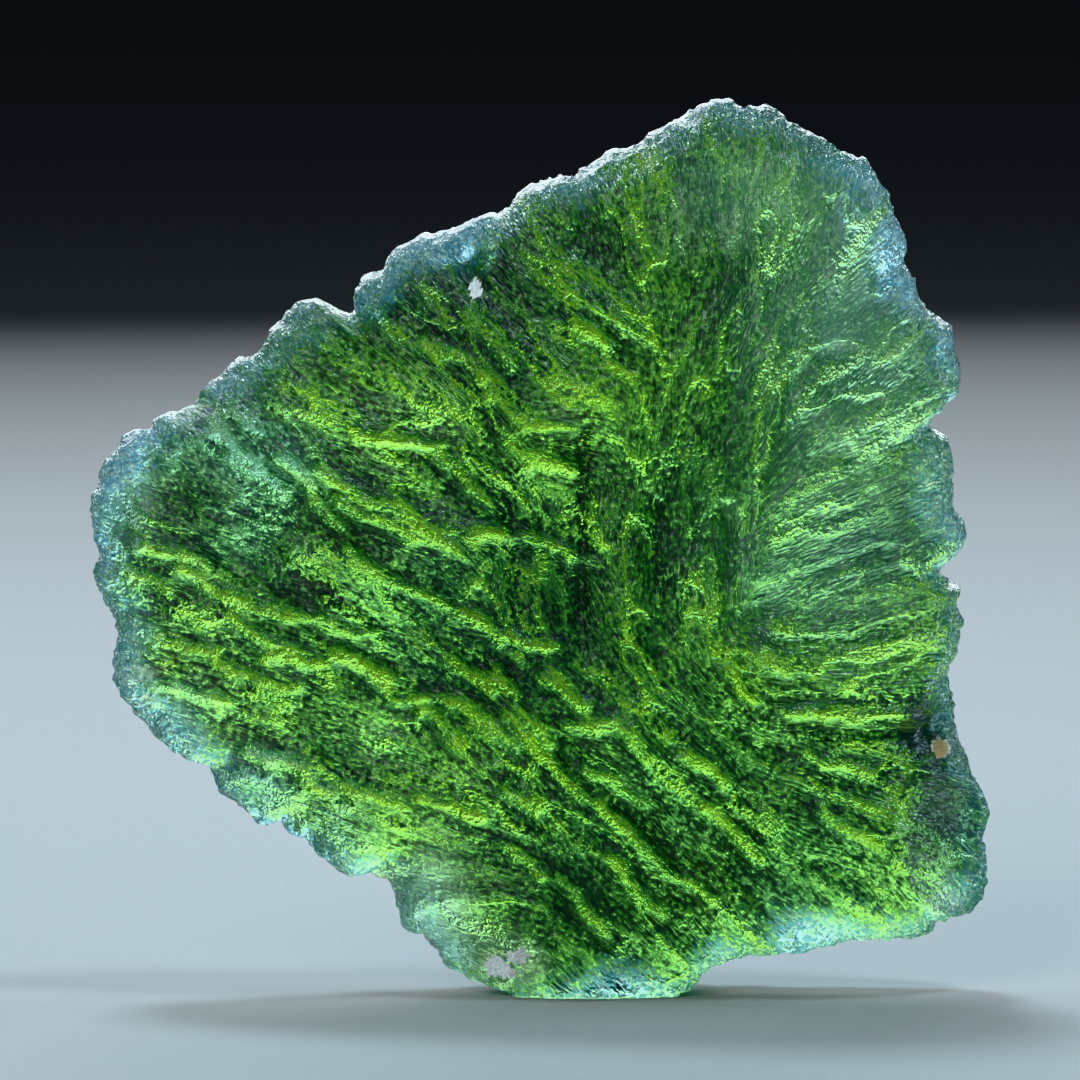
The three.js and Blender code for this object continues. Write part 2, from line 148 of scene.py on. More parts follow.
# main ridges of the front, from one end to the other as x, z, x and z
mainRidges = [
    (-10.9, 23.2, -8.3, 20.2), (-9.4, 22.4, -6.0, 20.9), (-6.0, 20.9, -3.2, 19.2), (-8.3, 21.2, -3.9, 19.5),
    (-4.9, 28.2, -2.7, 26.6), (-3.0, 29.1, -1.2, 27.3), (-2.1, 25.7, -0.6, 24.5), (-0.6, 24.5, 1.5, 24.5),
    (-1.5, 24.0, -0.4, 23.0), (-0.4, 23.2, 1.5, 22.7), (-7.6, 24.4, -4.3, 23.7), (1.5, 28.9, 3.1, 27.9),
    (-4.3, 23.3, -2.1, 21.3), (-2.7, 20.2, 0.2, 19.4), (0.2, 19.4, 1.9, 18.9), (-6.0, 17.9, -4.1, 16.7),
    (-4.1, 16.7, -2.1, 15.8), (-1.7, 15.4, 0.7, 15.0), (-7.9, 19.2, -5.9, 17.7), (-17.1, 19.2, -14.2, 18.4),
    (-15.4, 18.1, -12.8, 17.0), (-12.8, 17.0, -10.3, 16.5), (-17.9, 18.0, -15.8, 17.2),
    (-10.7, 16.8, -7.8, 15.5), (-17.1, 15.8, -13.8, 14.5), (-12.9, 16.0, -10.7, 14.7),
    (-9.0, 14.9, -6.3, 13.8), (-8.1, 14.6, -6.0, 13.0), (-6.0, 13.0, -3.1, 12.4), (-11.8, 14.7, -9.3, 14.4),
    (-13.6, 14.0, -10.3, 13.2), (-16.3, 13.3, -13.2, 12.4), (-3.9, 14.6, -2.1, 13.1),
    (-2.1, 13.9, -1.2, 13.1), (0.3, 14.1, 2.1, 12.7), (-3.3, 12.4, -1.3, 10.7),
    (-1.5, 11.9, 0.4, 10.2), (0.4, 10.2, 1.8, 8.7),
    (-1.2, 12.5, 0.3, 10.9), (-4.9, 12.2, -3.3, 10.7), (0.9, 11.9, 3.4, 11.7), (3.4, 11.7, 4.7, 10.6),
    (2.1, 10.0, 4.5, 8.5), (-7.9, 9.2, -5.5, 8.2), (-4.8, 8.7, -2.6, 8.0), (-1.5, 9.1, -0.1, 8.1),
    (10.3, 12.6, 15.6, 12.0), (8.1, 13.9, 9.1, 12.9), (9.3, 15.0, 10.7, 14.2), (6.4, 10.6, 7.6, 9.5),
    (11.5, 10.6, 13.8, 9.7), (2.6, 8.3, 4.7, 6.3), (4.7, 6.1, 7.1, 4.6), (0.9, 5.3, 3.0, 2.9),
    (6.8, 8.3, 9.4, 6.1), (12.0, 8.3, 14.6, 6.5), (3.0, 6.1, 5.4, 3.6), (-1.7, 6.5, 0.2, 5.3),
    (-13.9, 24.1, -11.8, 22.6), (-13.1, 23.0, -10.7, 21.7), (-12.4, 10.6, -9.0, 8.9),
]

# deep furrows of the front, the same way
furrows = [
    (-1.4, 21.8, -1.0, 16.2), (2.0, 24.4, 1.7, 16.2), (5.2, 21.0, 5.1, 17.7), (6.8, 21.1, 6.8, 19.8),
    (8.0, 21.1, 7.9, 18.2), (-12.6, 21.0, -10.0, 20.2), (-10.4, 18.0, -8.6, 17.0),
]

# chips along the rim: a point on the inner border, degrees of the way out, height there over the
# middle plane, fall per millimetre and how far the plane cups along the rim
rimChips = [
    (10.7, 36.4, 71, 2.0, 0.9, 40), (-2.8, 3.1, -128, 2.3, 0.75, 12),
    (-16.3, 22.0, 172, 2.0, 0.6, 14), (16.1, 6.3, -4, 2.5, 1.1, 14),
]

# lumps and pits: x, z, radius along x, radius along z, rise
frontDents = [
    (-3.1, 31.7, 0.9, 1.0, -1.1), (17.0, 11.5, 1.1, 1.9, -1.5), (-7.0, 29.7, 0.9, 1.2, 0.5),
    (-12.4, 18.8, 2.4, 1.6, -0.5), (-15.3, 21.6, 1.9, 1.5, -0.4), (12.5, 30.5, 4.0, 4.5, -0.5),
]
backDents = [
    (-5.0, 24.0, 4.5, 3.0, -0.8), (9.0, 15.0, 3.5, 5.0, -0.7), (2.0, 30.0, 3.0, 2.5, 0.5),
    (-8.0, 12.5, 3.0, 2.2, 0.5), (12.0, 26.5, 1.6, 1.3, -0.7), (1.0, 8.5, 1.5, 1.1, -0.6),
]

# places with a look of their own: x, z, radius along x, radius along z, strength. Haze is greyish
# green, partly frosted glass and partly painted sheen, clear is hardly tinted, dark is brown, teal is a
# painted cyan highlight on the lit crests, pale is painted whitish glints and partly whitish chips,
# chalk is bruised glass, and light raises or lowers the painted light of the green
# haze: greyish green, partly frosted glass and partly painted sheen
hazeSpots = [
    (13.5, 28.5, 7.0, 9.0, 1.1), (12.5, 19.0, 8.0, 7.0, 0.45), (9.5, 34.5, 5.5, 3.5, 0.9),
    (-17.9, 21.4, 2.2, 3.0, 1.2),
]
clearSpots = [
    (-4.6, 3.6, 2.6, 3.2, 1.5), (-2.4, 1.8, 2.8, 2.2, 1.0),
]
darkSpots = [
    (16.4, 11.7, 1.5, 1.7, 1.9), (17.2, 8.2, 2.4, 4.0, 0.9), (-3.5, 31.8, 0.35, 0.7, 1.0),
    (-1.0, 3.1, 0.3, 1.2, 0.8), (15.9, 6.0, 0.35, 1.6, 0.9),
]
# teal: painted cyan highlight on the lit crests
tealSpots = [
    (-17.6, 15.0, 2.0, 3.6, 1.0), (-15.6, 11.8, 2.6, 2.4, 1.0), (-12.2, 9.2, 2.8, 2.2, 0.9),
    (-8.6, 7.2, 2.6, 2.0, 0.8), (-4.6, 4.6, 2.2, 2.6, 0.9), (-18.2, 20.4, 1.8, 3.0, 0.9),
    (-11.9, 23.2, 3.6, 2.8, 1.6), (-15.7, 23.6, 2.0, 2.4, 1.3), (-12.6, 26.5, 2.0, 1.8, 1.5),
    (-9.2, 28.9, 1.9, 1.2, 1.5), (17.6, 6.8, 2.2, 4.2, 0.8), (-12.0, 19.6, 3.4, 2.4, 0.7),
    (-7.0, 29.7, 0.8, 1.2, 1.6),
]
# pale: painted whitish glints, partly whitish chips
paintedGlintAndChipSpots = [
    (5.9, 32.8, 1.4, 2.4, 0.5), (8.1, 32.8, 0.9, 1.6, 0.5), (-9.2, 29.0, 1.1, 0.45, 1.3),
    (-17.1, 13.7, 1.1, 0.6, 1.6), (-16.8, 12.6, 0.7, 0.5, 1.4), (-1.2, 1.6, 1.9, 1.4, 1.3),
    (-15.2, 24.4, 0.6, 0.45, 2.0), (17.6, 11.1, 0.35, 0.55, 1.8), (17.3, 4.0, 1.1, 0.7, 1.5),
    (-6.7, 4.9, 1.0, 0.6, 1.2),
]
chalkSpots = [
    (-2.7, 30.3, 0.34, 0.66, 1.7), (-1.7, 1.3, 1.3, 0.9, 1.0), (-0.8, 2.0, 0.9, 0.6, 0.9),
]
# light: raises or lowers the painted light of the green by region
lightSpots = [
    (-14.0, 13.5, 8.0, 8.5, 0.8), (-6.5, 8.0, 6.5, 5.0, 0.7), (14.0, 29.0, 7.0, 9.5, 0.2),
    (9.0, 34.0, 6.0, 4.5, 0.5), (14.5, 4.5, 6.0, 4.0, 0.6), (5.5, 30.5, 2.4, 3.4, 0.5),
    (14.5, 19.0, 5.5, 7.0, -0.55), (1.0, 17.0, 8.0, 9.0, -0.25),
]
soilSpots = [
    (17.05, 10.55, 0.55, 0.65, 2.0),
]


# Smooth step: 3 t^2 - 2 t^3, with t running from 0 at low to 1 at high
def easeBetween(value, low, high):
    t = np.clip((value - low) / (high - low), 0, 1)
    return t * t * (3 - 2 * t)


# Smooth noise from -1 to 1: lattice values fract(43758.5453 sin(127.1 i + 311.7 j + 74.7 seed)),
# blended across each square by the smooth step
def smoothNoise(x, z, seed):
    column, row = np.floor(x), np.floor(z)
    across, up = easeBetween(x - column, 0, 1), easeBetween(z - row, 0, 1)

    def latticeValue(i, j):
        mixed = np.sin(i * 127.1 + j * 311.7 + seed * 74.7) * 43758.5453
        return mixed - np.floor(mixed)

    low = latticeValue(column, row) * (1 - across) + latticeValue(column + 1, row) * across
    high = latticeValue(column, row + 1) * (1 - across) + latticeValue(column + 1, row + 1) * across
    return 2 * (low * (1 - up) + high * up) - 1


# The same noise in space: two sheets of it, one above the other along y, blended by the smooth step
def solidNoise(points, width, seed):
    x, y, z = (points / width).T
    sheet = np.floor(y)
    up = easeBetween(y - sheet, 0, 1)
    return smoothNoise(x, z, sheet + seed) * (1 - up) + smoothNoise(x, z, sheet + seed + 1) * up


# Mean of the given values over the given places, each weighted by (distance^2 + soft)^-power
def nearbyMean(x, z, places, values, soft, power=1.5):
    weights = ((x[..., None] - places[:, 0]) ** 2 + (z[..., None] - places[:, 1]) ** 2 + soft) ** -power
    return (weights * values).sum(-1) / weights.sum(-1)


# Direction of the flow lines as a unit vector: half the angle of the mean of the doubled directions
def flowDirection(x, z):
    guides = np.array(flowLines)
    doubled = 2 * np.radians(guides[:, 2])
    cosine = nearbyMean(x, z, guides, np.cos(doubled), 1.0)
    sine = nearbyMean(x, z, guides, np.sin(doubled), 1.0)
    angle = 0.5 * np.arctan2(sine, cosine)
    return np.cos(angle), np.sin(angle)


# Noise drawn out along the flow lines: its sum along the line through each place, divided by the
# root of the number of samples, so that its spread stays the same
def flowNoise(x, z, width, reach, seed, strides=8):
    stride = reach / strides
    total = smoothNoise(x / width, z / width, seed)
    for sense in (-1, 1):
        walkX, walkZ = x.copy(), z.copy()
        headX, headZ = flowDirection(x, z)
        headX, headZ = sense * headX, sense * headZ
        for step in range(strides):
            walkX, walkZ = walkX + stride * headX, walkZ + stride * headZ
            total += smoothNoise(walkX / width, walkZ / width, seed)
            newX, newZ = flowDirection(walkX, walkZ)
            same = np.where(newX * headX + newZ * headZ < 0, -1, 1)  # a flow line has no arrow, so keep on
            headX, headZ = same * newX, same * newZ
    return total / math.sqrt(2 * strides + 1)


# Closed curve through the points: cubic pieces with centripetal tangents, as samples at even spacing
def closedCurve(points, samples, steps=16):
    p1 = np.array(points, float)
    p0, p2, p3 = np.roll(p1, 1, 0), np.roll(p1, -1, 0), np.roll(p1, -2, 0)
    d1, d2, d3 = (np.sqrt(np.linalg.norm(b - a, axis=1))[:, None] for a, b in ((p0, p1), (p1, p2), (p2, p3)))
    m1 = ((p1 - p0) / d1 - (p2 - p0) / (d1 + d2) + (p2 - p1) / d2) * d2
    m2 = ((p2 - p1) / d2 - (p3 - p1) / (d2 + d3) + (p3 - p2) / d3) * d2
    t = np.linspace(0, 1, steps, endpoint=False)[None, :, None]
    p1, p2, m1, m2 = (a[:, None, :] for a in (p1, p2, m1, m2))
    curve = (p1 * (2 * t**3 - 3 * t**2 + 1) + m1 * (t**3 - 2 * t**2 + t)
             + p2 * (3 * t**2 - 2 * t**3) + m2 * (t**3 - t**2)).reshape(-1, 2)
    closed = np.vstack([curve, curve[:1]])
    lengths = np.concatenate([[0], np.cumsum(np.linalg.norm(np.diff(closed, axis=0), axis=1))])
    even = np.linspace(0, lengths[-1], samples, endpoint=False)
    return np.stack([np.interp(even, lengths, closed[:, k]) for k in (0, 1)], axis=1), lengths[-1]


# Place against the nearest of the lines: how far away that line is, and its direction
def placeByLines(x, z, lines):
    away = np.full_like(x, 99.0)
    angle = np.zeros_like(x)
    for startX, startZ, endX, endZ in lines:
        length = math.hypot(endX - startX, endZ - startZ)
        aheadX, aheadZ = (endX - startX) / length, (endZ - startZ) / length
        along = (x - startX) * aheadX + (z - startZ) * aheadZ
        sideways = (z - startZ) * aheadX - (x - startX) * aheadZ
        past = np.maximum(np.maximum(-along, along - length), 0)
        distance = np.hypot(sideways, past)
        angle = np.where(distance < away, math.atan2(aheadZ, aheadX), angle)
        away = np.minimum(away, distance)
    return away, angle


# Lumps and pits: rise (1 - q)^2 inside the oval, with q the squared distance in radii
def dents(x, z, spots):
    total = np.zeros_like(x)
    for middleX, middleZ, alongX, alongZ, rise in spots:
        q = ((x - middleX) / alongX) ** 2 + ((z - middleZ) / alongZ) ** 2
        total += rise * np.clip(1 - q, 0, 1) ** 2
    return total


# The net's places: rings round the heart, drawn out to the rim. turn runs once round each ring, and
# outness = 1 - (1 - ring / rings)^crowding
def netPlaces():
    n = stone["rings"]
    column, row = np.meshgrid(np.arange(-n, n + 1), np.arange(-n, n + 1), indexing="ij")
    ring = np.maximum(np.abs(column), np.abs(row))
    safe = np.maximum(ring, 1)
    turn = np.where((column == ring) & (row < ring), row,
                    np.where(row == ring, 2 * ring - column,
                             np.where(column == -ring, 4 * ring - row, 6 * ring + column))) / safe / 8
    outness = 1 - (1 - ring / n) ** stone["ringCrowding"]
    return ring, turn, outness


# Rim as a curve with crumbs along it, and the same rim smoothed by a running mean. Each crumb layer
# is rise * (0.6 - |noise|), moved outward
def rimCurves(samples):
    curve, length = closedCurve(rimOutline, samples)
    ahead = np.roll(curve, -1, 0) - np.roll(curve, 1, 0)
    outward = np.stack([-ahead[:, 1], ahead[:, 0]], axis=1)
    outward /= np.linalg.norm(outward, axis=1)[:, None]
    reach = int(stone["rimSmoothing"] / length * samples)
    offsets = range(-reach, reach + 1, max(1, reach // 5))
    smooth = sum(np.roll(curve, k, 0) for k in offsets) / len(offsets)
    crumbs = sum(rise * (0.6 - np.abs(smoothNoise(curve[:, 0] / width, curve[:, 1] / width, 31)))
                 for width, rise in stone["outlineCrumbs"])
    return curve + crumbs[:, None] * outward, smooth


# Streak directions for the glass. The way of the streaks is that of the flow, drawn to the nearest main
# ridge's by pull * exp(-(distance / reach)^2). It is given as the two nearest of eight fixed directions,
# an even and an odd one, each as cosine, sine and weight. A weight is cos^2 of the turn between, and
# reaches 0 where its direction changes
def streakTurns(x, z, ridgeAway, ridgeAngle):
    cosine, sine = flowDirection(x, z)
    pull, reach = relief["ridgePull"]
    drawn = pull * np.exp(-((ridgeAway / reach) ** 2))
    doubledCosine = cosine**2 - sine**2 + drawn * np.cos(2 * ridgeAngle)
    doubledSine = 2 * cosine * sine + drawn * np.sin(2 * ridgeAngle)
    place = 0.5 * np.arctan2(doubledSine, doubledCosine) / (math.pi / 8)
    turns = []
    for first in (0, 1):
        nearest = 2 * np.round((place - first) / 2) + first
        angle = nearest % 8 * math.pi / 8
        weight = np.cos(np.clip(np.abs(place - nearest), 0, 1) * math.pi / 2) ** 2
        turns.append(np.stack([np.cos(angle), np.sin(angle), weight], axis=-1))
    spread = np.hypot(turns[0][..., 2], turns[1][..., 2])
    for turn in turns:
        turn[..., 2] /= spread
    return turns


# One face of the stone. Height over the middle plane =
# half thickness * sqrt(1 - r^bluntness) + swell * (1 - r^taper) + relief, cut down by the rim chips
def facePoints(side):
    ring, turn, outness = netPlaces()
    samples = 8 * stone["rings"]
    rim, smoothRim = rimCurves(samples)
    exact = ((0.5 - turn) % 1) * samples
    low = np.floor(exact).astype(int) % samples
    part = (exact - np.floor(exact))[..., None]
    sharp = rim[low] * (1 - part) + rim[(low + 1) % samples] * part
    soft = smoothRim[low] * (1 - part) + smoothRim[(low + 1) % samples] * part
    share = easeBetween(outness, 1 - stone["notchReach"], 1)[..., None]
    edge = soft * (1 - share) + sharp * share
    heart = np.array(stone["heart"])
    spot = heart + outness[..., None] * (edge - heart)
    x, z = spot[..., 0], spot[..., 1]
    inset = (1 - outness) * np.linalg.norm(edge - heart, axis=-1)

    halves = np.array(rimHalves)
    half = nearbyMean(x, z, halves, halves[:, 2], 0.5)
    blunt = half * np.sqrt(np.clip(1 - outness ** stone["rimBluntness"], 0, 1))
    swell = stone["frontSwell"] if side < 0 else stone["backSwell"]
    base = blunt + swell * (1 - outness ** stone["swellTaper"])
    waves = np.sin(4 * np.pi * turn + 1) + 0.6 * np.sin(10 * np.pi * turn)
    wander = stone["rimWander"] * outness**2 * waves

    isFront = side < 0
    broadWidth, broadRise = relief["broad"]
    broad = smoothNoise(x / broadWidth, z / broadWidth, 3 if isFront else 11)
    flowWidth, flowReach, flowRise = relief["flow"]
    flow = flowNoise(x, z, flowWidth, flowReach, 5 if isFront else 17)
    flow *= 1 if isFront else relief["backShare"]
    lineWidth, lineReach, lineRise = relief["lines"]
    lines = flowNoise(x, z, lineWidth, lineReach, 23 if isFront else 29, 6)
    lines = flowNoise(x, z + relief["lean"] * lines, lineWidth, lineReach, 23 if isFront else 29, 6)
    ropeWidth, ropeRise = relief["rope"]
    rope = np.clip(1 - np.abs(lines) / ropeWidth, 0, 1)
    total = broadRise * broad + flowRise * flow + lineRise * lines + ropeRise * rope
    ridgeWidth, ridgeRise = relief["ridge"]
    furrowWidth, furrowDepth = relief["furrow"]
    if isFront:
        bentX = x + sum(reach * smoothNoise(x / width, z / width, 61) for width, reach in relief["sway"])
        bentZ = z + sum(reach * smoothNoise(x / width, z / width, 67) for width, reach in relief["sway"])
        ridgeAway, ridgeAngle = placeByLines(bentX, bentZ, mainRidges)
        furrowAway = placeByLines(bentX, bentZ, furrows)[0]
        total = total + dents(x, z, frontDents)
    else:
        ridgeAway = ridgeAngle = furrowAway = np.full_like(x, 9.0)
        total = total + dents(x, z, backDents)
    ridge = np.exp(-((ridgeAway / ridgeWidth) ** 2))
    furrow = np.exp(-((furrowAway / furrowWidth) ** 2))
    total = total + ridgeRise * ridge - furrowDepth * furrow
    height = base + easeBetween(inset, 0, 2 * stone["rimSkin"]) * total
    uncut = height.copy()
    if isFront:
        for chipX, chipZ, outward, chipHeight, fall, cup in rimChips:
            direction = math.radians(outward)
            out = (x - chipX) * math.cos(direction) + (z - chipZ) * math.sin(direction)
            sideways = (z - chipZ) * math.cos(direction) - (x - chipX) * math.sin(direction)
            height = np.minimum(height, chipHeight - fall * out + sideways**2 / cup)
    height = np.maximum(height, np.minimum(stone["thinnestHalf"], inset))
    points = np.stack([x, wander + side * height, z], axis=-1)

    evenTurn, oddTurn = streakTurns(x, z, ridgeAway, ridgeAngle)
    fields = {
        "flow": flow, "lines": lines, "inset": inset, "furrowAway": furrowAway, "ridgeAway": ridgeAway,
        "chip": easeBetween(uncut - height, 0.02, 0.12),
        "evenTurn": evenTurn, "oddTurn": oddTurn,
        "haze": np.clip(dents(x, z, hazeSpots), 0, 1), "teal": np.clip(dents(x, z, tealSpots), 0, 1),
        "pale": np.clip(dents(x, z, paintedGlintAndChipSpots), 0, 1) * isFront,
        "soil": np.clip(dents(x, z, soilSpots), 0, 1) * isFront,
        "light": np.clip(dents(x, z, lightSpots), -1, 1),
        "clear": np.clip(dents(x, z, clearSpots), 0, 1) * isFront,
        "dark": np.clip(dents(x, z, darkSpots), 0, 1) * isFront,
        "chalk": np.clip(dents(x, z, chalkSpots), 0, 1) * isFront,
    }
    return points, ring, fields


# Outward normals of the points: the sum of the crossed diagonals of the quads round each
def outwardNormals(points, faces):
    corners = points[faces]
    crossed = np.cross(corners[:, 2] - corners[:, 0], corners[:, 3] - corners[:, 1])
    normals = np.zeros_like(points)
    for k in range(4):
        np.add.at(normals, faces[:, k], crossed)
    return normals / np.linalg.norm(normals, axis=1)[:, None]


# The stone: both faces as nets that share the rim, crumbs along the normals near the rim, and its
# foot flattened at z = 0
def makeStone():
    front, ring, frontFields = facePoints(-1)
    back, ring, backFields = facePoints(1)
    inner = ring < stone["rings"]
    frontIndex = np.arange(ring.size).reshape(ring.shape)
    backIndex = frontIndex.copy()
    backIndex[inner] = ring.size + np.arange(inner.sum())
    points = np.vstack([front.reshape(-1, 3), back[inner]])

    def quads(index):
        corners = [index[:-1, :-1], index[1:, :-1], index[1:, 1:], index[:-1, 1:]]
        return np.stack(corners, axis=-1).reshape(-1, 4)

    def joined(name):
        values = frontFields[name]
        return np.concatenate([values.reshape(-1, *values.shape[2:]), backFields[name][inner]])

    faces = np.vstack([quads(frontIndex), quads(backIndex)[:, ::-1]])
    fields = {name: joined(name) for name in frontFields}
    crumbs = sum(rise * (0.5 - np.abs(solidNoise(points, width, 51))) for width, rise in stone["rimCrumbs"])
    crumbs *= np.exp(-((fields["inset"] / stone["crumbReach"]) ** 2)) * (1 - 0.7 * fields["chip"])
    points += crumbs[:, None] * outwardNormals(points, faces)
    points[:, 2] = np.maximum(points[:, 2], 0)

    # bring the box's middle to the CAD stone's
    cadLow, cadHigh = (np.array(corner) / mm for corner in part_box("moldavite"))
    middle = (points.min(0) + points.max(0)) / 2
    points[:, :2] += ((cadLow + cadHigh) / 2 - middle)[:2]
    print("stone box", points.min(0).round(3), points.max(0).round(3))
    print("CAD box", cadLow.round(3), cadHigh.round(3))

    mesh = bpy.data.meshes.new("moldavite_glass")
    mesh.from_pydata((points * mm).tolist(), [], faces.tolist())
    mesh.shade_smooth()
    for name, values in fields.items():
        kind, key = ("FLOAT_VECTOR", "vector") if values.ndim > 1 else ("FLOAT", "value")
        mesh.attributes.new(name, kind, "POINT").data.foreach_set(key, values.astype(np.float32).ravel())
    # faces of bruised glass and soil take the second material, with a ragged border
    bayWidth, stray = stone["markBays"]
    marked = np.maximum(fields["chalk"], fields["soil"]) * (1 + stray * solidNoise(points, bayWidth, 71))
    mesh.polygons.foreach_set("material_index", (marked[faces].mean(1) > 0.5).astype(np.int32))
    piece = bpy.data.objects.new("moldavite_glass", mesh)
    bpy.context.scene.collection.objects.link(piece)
    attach(piece, "root")
    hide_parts("moldavite")
    return piece


print("stone")
glassStone = makeStone()

glass = {
    "ior": 1.49,
    "transmission": 0.95,
    "absorb": (0.75, 0.89, 0.73),
    "density": 150.0,            # per metre
    "streak": (0.85, 0.22, 0.7),  # length and width of the etched streaks, and how deep one pattern goes
    "streakNoise": (1.0, 0.62),  # detail and roughness of the noise
    "streakSharpness": 3.4,
    "streakRise": 0.035,
    "ropeRise": 0.12,
    "grainWidth": 0.24,
    "grainNoise": (1.0, 0.6),
    "grainRise": 0.08,
    "rimGrainRise": 0.15,        # added to the grain's near the rim
    # from and to, and what they give: distances are in the fields' own units
    "ropeEdge": (0.02, 0.26, 1.0, 0.0),
    "ropeFlow": (-0.7, 0.3, 0.3, 1.0),
    "ropeHalo": (0.26, 0.8, 1.0, 0.0),
    "ridgeUneven": 1.2,          # how far the grain shifts a main ridge's edge
    "ridgeEdge": (0.05, 0.30, 1.0, 0.0),
    "ridgeHaloInside": (0.25, 0.5),
    "ridgeHaloOutside": (0.5, 1.1, 1.0, 0.0),
    "furrowEdge": (0.05, 0.34, 1.0, 0.0),
    # the level, 0 in the furrows to 1 on the crests, starts at ground, and each of these adds its share.
    # It is painted light and shade: lit lime on the ropes and ridges, painted shade in the furrows and
    # beside the main ridges, raised or lowered by the light spots, with the streaks and grain as uneven tone
    "ground": 0.215,
    "levelShares": {
        "flow": 0.05, "light": 0.13, "streak": 0.22, "rope": 0.32, "ropeHalo": 0.12, "ridge": 0.42,
        "ridgeHalo": -0.20, "furrow": -0.4, "uneven": 1.1, "dark": -0.35,
    },
    # colour at each level: painted shade at the low end, painted lit lime at the top
    "litAndShadedGreens": ((0.0, (0.003, 0.004, 0.004)), (0.2, (0.011, 0.018, 0.013)), (0.38, (0.06, 0.15, 0.06)),
               (0.56, (0.23, 0.58, 0.13)), (0.78, (0.60, 1.0, 0.09)), (1.0, (0.70, 1.0, 0.09))),
    # haze: partly frosted glass and partly painted sheen
    "haze": (0.36, 0.62, 0.48),
    "hazeShare": 0.45,
    # painted cyan highlight, laid on the lit crests
    "teal": (0.46, 0.94, 1.0),
    "tealShare": 0.75,
    "tealLevels": (0.42, 0.82, 0.04, 1.0),
    # rim band: painted glints and shade, pale cyan specks on dark teal by the grain, partly the thin glass's
    # own paler tint
    "rim": (0.68, 0.90, 1.0),
    "rimDark": (0.13, 0.38, 0.55),
    "paintedGlintGrain": (0.43, 0.56),
    "rimBand": (0.2, 1.45, 1.0, 0.0),
    "rimFlow": 0.4,              # how far the flow and the grain shift the band's inner edge
    "rimUneven": 2.4,
    # painted whitish glints, partly whitish chips
    "pale": (0.92, 1.0, 0.96),
    "paleGrain": (0.40, 0.56, 0.2, 1.0),
    "clear": (0.42, 0.60, 0.56),
    "clearShare": 0.85,
    "brown": (0.012, 0.013, 0.008),
    "brownShare": 0.8,
    "faceRoughness": (0.1, 0.8, 0.40, 0.15),  # levels from and to, and the roughness there
    "rimRoughness": (0.44, 0.58, 0.45, 0.09),  # the same for the grain
}
